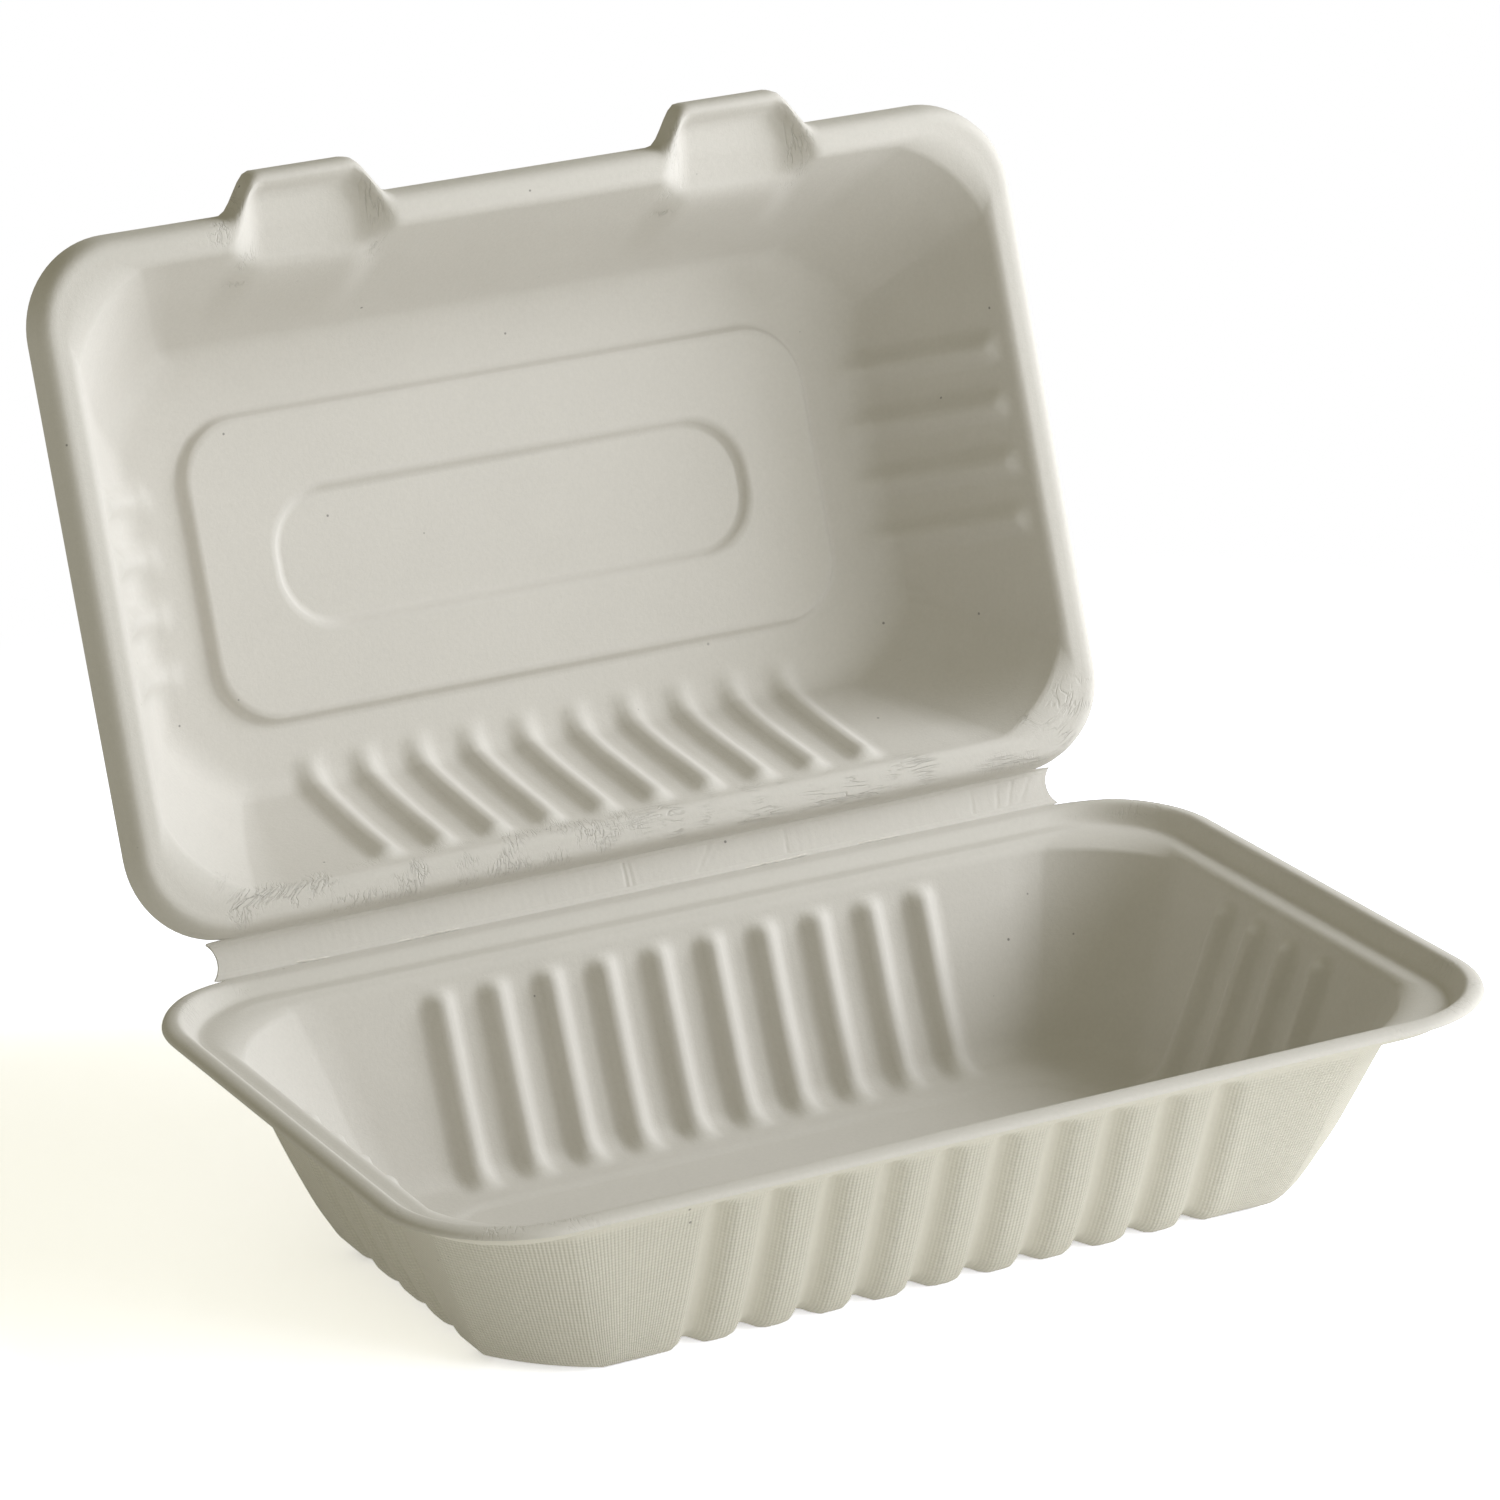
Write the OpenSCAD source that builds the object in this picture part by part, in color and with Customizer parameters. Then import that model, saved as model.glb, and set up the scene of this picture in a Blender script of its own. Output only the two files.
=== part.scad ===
// Hinged takeout container moulded from plant-fibre pulp, standing open.
// Origin: middle of the tray's underside. X runs along the hinge, Y towards it, Z up.

/* [Tray] */
// Length of the tray over its rim, along the hinge
tray_length = 232; // [210:1:260]
// Width of the tray over its rim, front to back
tray_width = 147.5; // [135:0.5:165]
// Height of the tray, from the table to the top of its rim
tray_height = 44; // [36:0.5:56]
// Radius of the tray rim's corners, seen from above
tray_corner = 27; // [24:0.5:32]
// Thickness of the pulp in the tray
tray_wall = 1.3; // [0.8:0.05:1.5]
// Slope of the tray's walls from upright, in degrees
tray_draft = 22.5; // [16:0.5:25]
// Width of the chamfer on the tray's upright corners, at the wall's top
tray_chamfer_top = 20; // [16:0.5:22]
// Width of the same chamfer at the floor
tray_chamfer_floor = 15; // [12:0.5:17]
// Radius between the tray's walls and floor, on the inside
tray_floor_radius = 6; // [4:0.5:7]
// Depth of the shallow panel sunk into the floor, on the inside
tray_panel_step = 0.5; // [0.2:0.05:0.6]
// Flat floor between the ribs' noses and the panel's slope
tray_panel_margin = 3.5; // [2:0.5:6]
// Width of that slope
tray_panel_slope = 2; // [1:0.25:4]
// How much farther the panel stays from the short walls
tray_panel_short = 4.7; // [0:0.1:8]
// Radius of the panel's corners
tray_panel_corner = 14; // [10:0.5:18]

/* [Tray rim] */
// Height of the bead above the rim's cut edge
tray_bead_height = 1.5; // [1.2:0.1:2]
// Distance from the cut edge to the bead's crest
tray_bead_width = 3; // [2.6:0.1:3.6]
// Width of the bead's slope down into the channel
channel_slope = 4.2; // [3.6:0.1:5]
// Depth of the channel below the bead's crest
channel_depth = 4; // [3:0.1:4.5]
// Width of the channel's floor
channel_width = 2.4; // [2:0.1:4]
// Radius of the shoulder from the channel into the wall
shoulder_radius = 3; // [2.5:0.1:4]

/* [Lid] */
// Length of the lid over its rim, along the hinge
lid_length = 218.5; // [196:0.5:246]
// Width of the lid over its rim, from the hinge to the front
lid_width = 140; // [127:0.5:157]
// Depth of the lid, from its rim's cut edge to its flat top
lid_depth = 33; // [26:0.5:44]
// Radius of the lid rim's corners
lid_corner = 19; // [17:0.5:24]
// Thickness of the pulp in the lid
lid_wall = 0.6; // [0.5:0.05:1]
// Slope of the lid's walls from its depth direction, in degrees
lid_draft = 24; // [18:0.5:26]
// Width of the chamfer on the lid's corners, at the wall's top
lid_chamfer_top = 17; // [14:0.5:20]
// Width of the same chamfer at the flat top
lid_chamfer_floor = 15; // [12:0.5:17]
// Radius between the lid's walls and its flat top, on the inside
lid_floor_radius = 6; // [4:0.5:8]

/* [Lid rim] */
// Height of the lid's bead above its cut edge
lid_bead_height = 5.5; // [4:0.1:6]
// Width of the skirt between the cut edge and the bead
lid_skirt = 1.8; // [1.4:0.1:2.4]
// Width of the bead, from the skirt to the wall
lid_bead_width = 6.4; // [5.4:0.1:8]

/* [Lid panel] */
// Distance of the raised panel from the lid's outline
panel_inset = 39.6; // [38:0.1:44]
// Rise of the panel above the lid's flat top, on the inside
panel_rise = 1.6; // [0.8:0.1:2.4]
// Width of the slope round the panel
panel_slope = 2; // [1.5:0.1:3]
// Radius of the panel's corners
panel_corner = 12; // [9:0.5:16]
// Distance of the long slot-shaped recess from the lid's outline
recess_inset = 55.4; // [53:0.1:57]
// Depth of the recess in the panel
recess_depth = 1.4; // [0.6:0.1:2]
// Width of the slope round the recess
recess_slope = 2; // [1.5:0.1:3]

/* [Ribs] */
// Distance between neighbouring ribs
rib_pitch = 12; // [10:0.25:13]
// Width of one rib
rib_width = 8.4; // [6:0.2:9]
// How far a tray rib stands in from its wall
tray_rib_rise = 2.8; // [1.5:0.1:3.5]
// How far a lid rib stands in from its wall
lid_rib_rise = 2; // [1:0.1:3]
// Ribs on each long wall of the tray and on the lid's hinge side
long_ribs = 10; // [6:2:10]
// Ribs on each short wall
short_ribs = 4; // [2:1:4]
// Plain wall between the shoulder and the ribs' tops
rib_margin = 1; // [0.5:0.25:4]
// Length over which a rib rises out of the wall at its top
rib_lead = 3.5; // [2.5:0.5:7]
// Length of a rib's nose on the floor
rib_nose = 4; // [2:0.5:6]

/* [Lock tabs] */
// Distance of each tab's middle from the lid's middle
tab_place = 47.5; // [38:0.5:55]
// Width of a tab at its tip
tab_width = 20; // [14:0.5:26]
// Width of the flank on each side of the tip
tab_flank = 8; // [5:0.5:10]
// How far a tab stands out from the lid's rim
tab_reach = 8; // [6:0.25:9]
// Width of the tab's own small bead at its tip
tab_lip = 3.4; // [2.8:0.1:4]
// Drop from the tab's lip to the ledge behind it
tab_drop = 3.4; // [2:0.1:4]

/* [Hinge] */
// Width of the hinge strip between its two folds
strip_width = 7.6; // [7.2:0.1:10]
// Thickness of the hinge strip
strip_thickness = 0.7; // [0.5:0.05:1]
// Length of the hinge strip at the folds
strip_length = 192; // [160:1:205]
// Radius of the concave ends of the strip
strip_end_radius = 5; // [4.2:0.1:7]
// How deep those ends curve in
strip_end_depth = 2.2; // [1:0.1:3]
// Clearance between each fold's axis and the edges beside it
fold_clearance = 0.15; // [0.1:0.05:0.3]
// Angle of the strip above level, as the container stands open
strip_angle = 62; // [0:1:90]
// Angle of the lid above level, as the container stands open
lid_angle = 71.5; // [62:0.5:120]

/* [Hidden] */

// Segments of each rim corner, and of each quarter round in the section
corner_steps = 7;
round_steps = 3;
// Share of a chamfer that is flat rather than rounded, at the wall's top and at the floor
flat_top = 0.45;
flat_floor = 0.75;
// Places across a rib and across a tab's flank, as shares
rib_shares = [-1, -0.5, 0, 0.5, 1];
flank_shares = [0, 1 / 3, 2 / 3, 1];

tray_cut_z = tray_height - tray_bead_height;
fold_y = tray_width / 2 + fold_clearance;
tabs_end = tab_place + tab_width / 2 + tab_flank + 1;
tray_floor_z = tray_wall - tray_height;
short_ribs_end = (short_ribs - 1) / 2 * rib_pitch + rib_width / 2 + 0.3;
pulp_colour = [0.80, 0.78, 0.74];
strip_colour = [0.84, 0.83, 0.80];

// Sections are lists of [inset, height] from the rim's cut edge to the middle.
function bead(width, height) = [
    [0, -height],
    [0.2 * width, -height / 2],
    [0.55 * width, -0.13 * height],
    [width, 0]
];

function slope_down(start, width, drop) = [
    for (i = [1 : round_steps])
        [start[0] + width * i / round_steps,
         start[1] - drop * (1 - cos(180 * i / round_steps)) / 2]
];

function shoulder(start, radius, draft) = [
    for (i = [1 : round_steps])
        let (turn = (90 - draft) * i / round_steps)
            [start[0] + radius * sin(turn), start[1] - radius * (1 - cos(turn))]
];

// Wall from its top to the floor, with the rib's rows and the round at its foot
function wall(start, floor_z, draft, radius, margin, lead, nose) =
    let (
        drop = start[1] - floor_z,
        round_drop = radius * (1 - sin(draft)),
        foot = [start[0] + (drop - round_drop) * tan(draft), floor_z + round_drop],
        centre = foot + radius * [cos(draft), sin(draft)],
        turn = 90 - draft
    )
    [
        [start[0] + margin * tan(draft), start[1] - margin],
        [start[0] + (margin + lead) * tan(draft), start[1] - margin - lead],
        foot,
        centre + radius * [-cos(draft + turn / 2), -sin(draft + turn / 2)],
        centre + radius * [0, -1],
        centre + [nose, -radius]
    ];

function last(list) = list[len(list) - 1];
function mix(a, b, share) = a * (1 - share) + b * share;
function smooth(share) = share * share * (3 - 2 * share);

// Direction from the inside face to the outside one, at one point of a section
function outward(section, i) =
    let (
        before = section[max(i - 1, 0)],
        after = section[min(i + 1, len(section) - 1)],
        along = (after - before) / norm(after - before)
    )
    [along[1], -along[0]];

function thickened(section, thickness) = [
    for (i = [0 : len(section) - 1]) section[i] + thickness * outward(section, i)
];

// Columns are [side, place, rib share, tab share, key] in order round the outline.
// Sides 0 to 3 are right, back, left and front; a place is measured from the side's middle.
function rib_columns(side, count) = [
    for (i = [0 : count - 1], share = rib_shares)
        [side, (i - (count - 1) / 2) * rib_pitch + share * rib_width / 2, (1 + cos(180 * share)) / 2, 0, false]
];

function tab_columns(side) = [
    for (middle = [-tab_place, tab_place], end = [-1, 1], share = flank_shares)
        let (
            rise = end < 0 ? share : 1 - share,
            from_middle = tab_width / 2 + tab_flank * (1 - rise)
        )
        [side, middle + end * from_middle, 0, smooth(rise), true]
];

function corner_columns(side) = [
    for (i = [0 : corner_steps]) [side + 4, i / corner_steps, 0, 0, true]
];

function turned(point, side) =
    side == 0 ? point
    : side == 1 ? [-point[1], point[0]]
    : side == 2 ? [-point[0], -point[1]]
    : [point[1], -point[0]];

// Place of a column along its side: the tabs' columns close up where the straight is short
function held(column, room) = column[4] ? column[1] * min(1, room / tabs_end) : column[1];

// A point of one ring: the outline's half sizes, the column, and the row's section point
function ring_point(half, column, at, corner, flat) =
    let (
        side = column[0] % 4,
        across = (side % 2 == 0 ? half[0] : half[1]) - at[0],
        along = (side % 2 == 0 ? half[1] : half[0]) - at[0],
        angle = 90 * column[1],
        arc = [across - corner * (1 - cos(angle)), along - corner * (1 - sin(angle))],
        chamfer = [across - corner * column[1], along - corner * (1 - column[1])],
        place = column[0] < 4 ? [across, held(column, along - corner)] : mix(arc, chamfer, flat)
    )
    concat(turned(place, side), at[1]);

// A row is [section point, rib rise, rib direction, tab's section point, corner, flatness,
// extra inset at the short sides].
function ring(half, columns, row) = [
    for (column = columns)
        let (
            plain = row[0] + row[1] * column[2] * row[2],
            at = mix(plain, row[3], column[3])
        )
        ring_point(half - [row[6], 0], column, at, row[4], row[5])
];

function keys_of(columns) = [for (i = [0 : len(columns) - 1]) if (columns[i][4]) i];

// Point numbers along one ring, from one key column to the next
function path(offset, full, keys, i, total) =
    let (
        j = (i + 1) % len(keys),
        stop = keys[j] > keys[i] ? keys[j] : keys[j] + total
    )
    full
        ? [for (c = [keys[i] : stop]) offset + c % total]
        : [offset + i, offset + j];

// Faces between a path of two points and a longer one
function fan(a, b) =
    let (middle = floor(len(b) / 2), stop = len(b) - 1)
    concat(
        [for (i = [0 : middle - 1]) [a[0], b[i + 1], b[i]]],
        [[a[0], a[1], b[middle]]],
        [for (i = [middle : stop - 1]) [a[1], b[i + 1], b[i]]]
    );

// Faces between two paths: a strip of triangles where they match, and a fan where they don't
function band(a, b) =
    len(a) == len(b)
        ? [for (i = [0 : len(a) - 2], half = [0, 1])
            half == 0 ? [a[i], a[i + 1], b[i + 1]] : [a[i], b[i + 1], b[i]]]
        : len(a) < len(b)
            ? fan(a, b)
            : [for (face = fan(b, a)) backwards(face)];

function backwards(face) = [face[0], face[2], face[1]];

function running(sizes, i) = i == 0 ? 0 : running(sizes, i - 1) + sizes[i - 1];

// Flat cap inside the last ring, with the middle of the shell well inside one of its faces
function cap(start, count) =
    let (
        far = floor(count / 2),
        kept = [for (i = [1 : count - 1]) if (i != far) i]
    )
    concat(
        [for (i = [0 : len(kept) - 2]) [start, start + kept[i], start + kept[i + 1]]],
        [[start + far - 1, start + far, start + far + 1]]
    );

// One skin of the shell: its rings from the cut edge inwards, and the cap in the middle
function skin_faces(columns, keys, full, offsets) = concat(
    [for (r = [0 : len(full) - 2], i = [0 : len(keys) - 1])
        each band(path(offsets[r], full[r], keys, i, len(columns)),
                  path(offsets[r + 1], full[r + 1], keys, i, len(columns)))],
    cap(last(offsets), len(keys))
);

// The moulded shell: an inside and an outside skin over the same columns, joined at the cut edge
module shell(half, columns, inside, outside, full) {
    keys = keys_of(columns);
    sparse = [for (k = keys) columns[k]];
    sizes = [for (f = full) f ? len(columns) : len(keys)];
    offsets = [for (r = [0 : len(full)]) running(sizes, r)];
    skin = [for (r = [0 : len(full) - 1]) offsets[r]];
    under = [for (r = [0 : len(full) - 1]) offsets[r] + last(offsets)];
    points = [
        for (rows = [inside, outside], r = [0 : len(full) - 1])
            each ring(half, full[r] ? columns : sparse, rows[r])
    ];
    faces = concat(
        [for (f = skin_faces(columns, keys, full, skin)) backwards(f)],
        skin_faces(columns, keys, full, under),
        [for (i = [0 : len(keys) - 1])
            each band(path(skin[0], false, keys, i, len(columns)),
                      path(under[0], false, keys, i, len(columns)))]
    );
    polyhedron(points = points, faces = faces, convexity = 10);
}

// Corner size and flatness of each row, from the rim's round to the wall's chamfer.
// The chamfer leaves room for the ribs of the short walls.
function corner_rows(section, half, rim_corner, top, foot, chamfer_top, chamfer_floor, panels) = [
    for (i = [0 : len(section) - 1])
        i <= top - round_steps
            ? [rim_corner - section[i][0], 0]
            : i <= top
                ? let (share = (i - top + round_steps) / round_steps,
                       start = rim_corner - section[top - round_steps][0])
                    [mix(start, chamfer_top, share), flat_top * share]
                : i <= foot
                    ? let (share = (i - top) / (foot - top),
                           room = half - section[i][0] - short_ribs_end)
                        [min(mix(chamfer_top, chamfer_floor, share), room), mix(flat_top, flat_floor, share)]
                    : panels[i - foot - 1]
];

// Rows of both skins: the outside one keeps the same thickness round the corners
function rows_of(section, skin, rises, tab, corners, inward, shorter) = [
    for (i = [0 : len(section) - 1])
        let (spread = section[i][0] - skin[i][0])
        [skin[i], rises[i], inward[i], tab[i],
         corners[i][0] + spread * (1 - 0.414 * corners[i][1]), corners[i][1], shorter[i]]
];

function inward_of(section) = [for (i = [0 : len(section) - 1]) -outward(section, i)];

module tray() {
    rim = bead(tray_bead_width, tray_bead_height);
    slope = slope_down(last(rim), channel_slope, channel_depth);
    channel = [last(slope) + [channel_width, 0]];
    edge = shoulder(channel[0], shoulder_radius, tray_draft);
    side = wall(last(edge), tray_floor_z, tray_draft, tray_floor_radius, rib_margin, rib_lead, rib_nose);
    panel_at = last(side)[0] + tray_panel_margin;
    panel = [[panel_at, tray_floor_z], [panel_at + tray_panel_slope, tray_floor_z - tray_panel_step]];
    section = concat(rim, slope, channel, edge, side, panel);
    wall_top = len(rim) + len(slope) + len(channel) + len(edge) - 1;
    foot = wall_top + len(side);
    last_row = len(section) - 1;
    rises = [for (i = [0 : last_row])
        i <= wall_top + 1 || i >= foot ? 0
        : i == foot - 1 ? 0.55 * tray_rib_rise : tray_rib_rise];
    panels = [[tray_panel_corner + tray_panel_slope, 0], [tray_panel_corner, 0]];
    corners = corner_rows(section, tray_width / 2, tray_corner, wall_top, foot, tray_chamfer_top,
                          tray_chamfer_floor, panels);
    shorter = [for (i = [0 : last_row]) i > foot ? tray_panel_short : 0];
    full = [for (i = [0 : last_row]) i > wall_top && i <= foot];
    columns = [
        for (k = [0 : 3])
            each concat(rib_columns(k, k % 2 == 0 ? short_ribs : long_ribs), corner_columns(k))
    ];
    inward = inward_of(section);
    skin = thickened(section, tray_wall);
    under = [for (i = [0 : last_row]) i < foot - 1 ? skin[i] : [section[i][0], -tray_height]];
    color(pulp_colour)
        translate([0, 0, tray_height])
            shell([tray_length, tray_width] / 2, columns,
                rows_of(section, section, rises, section, corners, inward, shorter),
                rows_of(section, under, rises, under, corners, inward, shorter), full);
}

// Lid in its own moulding frame: cut edge at height 0, open side up, hinge at the front
module lid_shell() {
    floor_z = -lid_depth;
    bead_end = lid_skirt + lid_bead_width;
    rim = [
        [0, 0],
        [0.45 * lid_skirt, 0.5 * lid_bead_height],
        [lid_skirt, 0.84 * lid_bead_height],
        [lid_skirt + 0.25 * lid_bead_width, lid_bead_height],
        [lid_skirt + 0.6 * lid_bead_width, 0.97 * lid_bead_height]
    ];
    edge = shoulder(last(rim), 0.4 * lid_bead_width / cos(lid_draft), lid_draft);
    side = wall(last(edge), floor_z, lid_draft, lid_floor_radius, rib_margin, rib_lead, rib_nose);
    panel = [
        [panel_inset - panel_slope, floor_z],
        [panel_inset, floor_z + panel_rise],
        [recess_inset, floor_z + panel_rise],
        [recess_inset + recess_slope, floor_z + panel_rise - recess_depth]
    ];
    section = concat(rim, edge, side, panel);
    wall_top = len(rim) + len(edge) - 1;
    foot = wall_top + len(side);
    last_row = len(section) - 1;
    pocket_foot = section[wall_top + 2];
    tab = concat(
        [
            [-tab_reach, 0],
            [0.15 * tab_lip - tab_reach, 0.55 * lid_bead_height],
            [0.4 * tab_lip - tab_reach, 0.9 * lid_bead_height],
            [0.75 * tab_lip - tab_reach, lid_bead_height],
            [1.15 * tab_lip - tab_reach, lid_bead_height - 0.35 * tab_drop],
            [1.6 * tab_lip - tab_reach, lid_bead_height - tab_drop],
            [0.35 * bead_end, lid_bead_height - 1.2 * tab_drop],
            mix([0.35 * bead_end, lid_bead_height - 1.2 * tab_drop], pocket_foot, 0.4),
            mix([0.35 * bead_end, lid_bead_height - 1.2 * tab_drop], pocket_foot, 0.7)
        ],
        [for (i = [wall_top + 2 : last_row]) section[i]]
    );
    rises = [for (i = [0 : last_row])
        i <= wall_top + 1 || i >= foot ? 0
        : i == foot - 1 ? 0.55 * lid_rib_rise : lid_rib_rise];
    recess_corner = lid_width / 2 - recess_inset - 0.1;
    panels = [
        [panel_corner + panel_slope, 0],
        [panel_corner, 0],
        [recess_corner, 0],
        [recess_corner - recess_slope, 0]
    ];
    corners = corner_rows(section, lid_width / 2, lid_corner, wall_top, foot, lid_chamfer_top,
                          lid_chamfer_floor, panels);
    shorter = [for (i = [0 : last_row]) 0];
    under = thickened(section, lid_wall);
    tab_under = thickened(tab, lid_wall);
    full = [for (i = [0 : last_row]) i > wall_top && i <= foot];
    columns = concat(
        rib_columns(0, short_ribs), corner_columns(0),
        tab_columns(1), corner_columns(1),
        rib_columns(2, short_ribs), corner_columns(2),
        rib_columns(3, long_ribs), corner_columns(3)
    );
    inward = inward_of(section);
    shell([lid_length, lid_width] / 2, columns,
        rows_of(section, section, rises, tab, corners, inward, shorter),
        rows_of(section, under, rises, tab_under, corners, inward, shorter), full);
}

// Puts a child that lies behind the tray's fold into the strip's pose
module on_strip() {
    translate([0, fold_y, tray_cut_z]) rotate([strip_angle, 0, 0]) children();
}

module hinge_strip() {
    width = strip_width - 2 * fold_clearance;
    color(strip_colour)
        on_strip()
            translate([0, strip_width / 2, -strip_thickness])
                linear_extrude(strip_thickness)
                    difference() {
                        square([strip_length, width], center = true);
                        for (end = [-1, 1])
                            translate([end * (strip_length / 2 + strip_end_radius - strip_end_depth), 0])
                                circle(strip_end_radius, $fn = 48);
                    }
}

module lid() {
    color(pulp_colour)
        on_strip()
            translate([0, strip_width, 0])
                rotate([lid_angle - strip_angle, 0, 0])
                    translate([0, lid_width / 2 + fold_clearance, 0])
                        lid_shell();
}

tray();
hinge_strip();
lid();
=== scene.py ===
import math

import bpy
from mathutils import Matrix, Vector, noise


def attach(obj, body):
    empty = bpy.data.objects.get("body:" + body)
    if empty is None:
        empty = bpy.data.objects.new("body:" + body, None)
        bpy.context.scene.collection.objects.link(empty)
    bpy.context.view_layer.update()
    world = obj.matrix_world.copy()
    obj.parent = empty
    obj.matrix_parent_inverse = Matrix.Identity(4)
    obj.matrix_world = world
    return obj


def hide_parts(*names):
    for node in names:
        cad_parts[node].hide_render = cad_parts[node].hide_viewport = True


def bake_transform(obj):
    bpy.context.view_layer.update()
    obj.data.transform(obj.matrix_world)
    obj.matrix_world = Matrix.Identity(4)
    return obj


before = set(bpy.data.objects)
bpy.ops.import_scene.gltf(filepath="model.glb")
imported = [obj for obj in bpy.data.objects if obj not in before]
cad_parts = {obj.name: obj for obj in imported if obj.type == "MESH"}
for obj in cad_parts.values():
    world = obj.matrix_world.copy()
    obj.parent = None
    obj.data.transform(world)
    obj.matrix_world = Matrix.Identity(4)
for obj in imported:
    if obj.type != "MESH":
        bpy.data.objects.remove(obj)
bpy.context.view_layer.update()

mm = 0.001
print("frame loaded")


# Shaping tools

def startClean():
    if bpy.context.object and bpy.context.object.mode != "OBJECT":
        bpy.ops.object.mode_set(mode="OBJECT")
    bpy.ops.object.select_all(action="DESELECT")


def blendSmooth(share):
    share = min(max(share, 0), 1)
    return share * share * (3 - 2 * share)


def mix(a, b, share):
    return a + (b - a) * share


# Slopes for a curve through the given values that never overshoots them
def easySlopes(places, values):
    steps = [b - a for a, b in zip(places, places[1:])]
    slopes = [(b - a) / s for a, b, s in zip(values, values[1:], steps)]
    result = [slopes[0]]
    for i in range(1, len(slopes)):
        before, after = slopes[i - 1], slopes[i]
        if before * after <= 0:
            result.append(0)
        else:
            w1 = 2 * steps[i] + steps[i - 1]
            w2 = steps[i] + 2 * steps[i - 1]
            result.append((w1 + w2) / (w1 / before + w2 / after))
    return result + [slopes[-1]]


def easyValue(a, b, slopeA, slopeB, step, t):
    return ((2 * t ** 3 - 3 * t ** 2 + 1) * a + (t ** 3 - 2 * t ** 2 + t) * step * slopeA
            + (3 * t ** 2 - 2 * t ** 3) * b + (t ** 3 - t ** 2) * step * slopeB)


# Rows of a moulded section between its key rows: curves for the first four numbers, even steps for the rest
def fineRows(keys, spacing):
    places = [0]
    for a, b in zip(keys, keys[1:]):
        places.append(places[-1] + max(math.dist(a[:2], b[:2]), 0.2))
    slopes = [easySlopes(places, [key[k] for key in keys]) for k in range(4)]
    rows = []
    for i in range(len(keys) - 1):
        step = places[i + 1] - places[i]
        count = max(2, math.ceil(step / spacing))
        for j in range(count):
            t = j / count
            curved = [easyValue(keys[i][k], keys[i + 1][k], slopes[k][i], slopes[k][i + 1], step, t)
                      for k in range(4)]
            rise = mix(keys[i][4], keys[i + 1][4], blendSmooth(t))
            rows.append(curved + [rise] + [mix(keys[i][k], keys[i + 1][k], t) for k in (5, 6, 7)]
                        + [places[i] + step * t])
    return rows + [list(keys[-1]) + [places[-1]]]


def wallKeys(start, floor, draft, radius, margin, lead, nose):
    slope = math.radians(draft)
    drop = start[1] - floor
    roundDrop = radius * (1 - math.sin(slope))
    foot = (start[0] + (drop - roundDrop) * math.tan(slope), floor + roundDrop)
    centre = (foot[0] + radius * math.cos(slope), foot[1] + radius * math.sin(slope))
    turn = math.pi / 2 - slope
    keys = [(start[0] + margin * math.tan(slope), start[1] - margin),
            (start[0] + (margin + lead) * math.tan(slope), start[1] - margin - lead), foot]
    for share in (0.25, 0.5, 0.75, 1):
        angle = slope + turn * share
        keys.append((centre[0] - radius * math.cos(angle), centre[1] - radius * math.sin(angle)))
    return keys + [(centre[0] + nose, centre[1] - radius)]


def shoulderKeys(start, radius, draft):
    keys = []
    for share in (0.25, 0.5, 0.75, 1):
        turn = math.radians(90 - draft) * share
        keys.append((start[0] + radius * math.sin(turn), start[1] - radius * (1 - math.cos(turn))))
    return keys


# Columns round the outline: side, place in its rib zone or beyond, rib share, tab share
def straightColumns(side, zone, ribs, tabs, spacing):
    count = math.ceil(2 * zone / spacing)
    columns = [(side, -(1 + k / 3), 0, 0) for k in (2, 1)]
    for i in range(count + 1):
        place = zone * (2 * i / count - 1)
        rib = 0
        for k in range(ribs["count"]):
            off = place - (k - (ribs["count"] - 1) / 2) * ribs["pitch"]
            if abs(off) < ribs["width"] / 2:
                rib = (1 + math.cos(2 * math.pi * off / ribs["width"])) / 2
        tab = 0
        if tabs:
            off = abs(abs(place) - tabs["place"]) - tabs["width"] / 2
            tab = blendSmooth(1 - off / tabs["flank"])
        columns.append((side, 2 * i / count - 1, rib, tab))
    return columns + [(side, 1 + k / 3, 0, 0) for k in (1, 2)]


def cornerColumns(side, steps):
    return [(side + 4, i / steps, 0, 0) for i in range(steps + 1)]


def turned(x, y, side):
    return ((x, y), (-y, x), (-x, -y), (y, -x))[side]


def ringPoint(half, zones, column, inset, height, corner, flat):
    side = column[0] % 4
    across = (half[0] if side % 2 == 0 else half[1]) - inset
    along = (half[1] if side % 2 == 0 else half[0]) - inset
    if column[0] < 4:
        room = along - corner
        zone = min(zones[side], 0.97 * room)
        u = column[1]
        place = zone * u if abs(u) <= 1 else math.copysign(zone + (abs(u) - 1) * (room - zone), u)
        return turned(across, place, side) + (height,)
    angle = math.pi / 2 * column[1]
    arc = (across - corner * (1 - math.cos(angle)), along - corner * (1 - math.sin(angle)))
    chamfer = (across - corner * column[1], along - corner * (1 - column[1]))
    return turned(mix(arc[0], chamfer[0], flat), mix(arc[1], chamfer[1], flat), side) + (height,)


# Directions to the open side, for the plain section (first 0) or the one at the tabs (first 2)
def rowNormals(rows, first):
    normals = []
    for i in range(len(rows)):
        before, after = rows[max(i - 1, 0)], rows[min(i + 1, len(rows) - 1)]
        ds, dh = after[first] - before[first], after[first + 1] - before[first + 1]
        size = math.hypot(ds, dh)
        normals.append((-dh / size, ds / size))
    return normals


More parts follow.
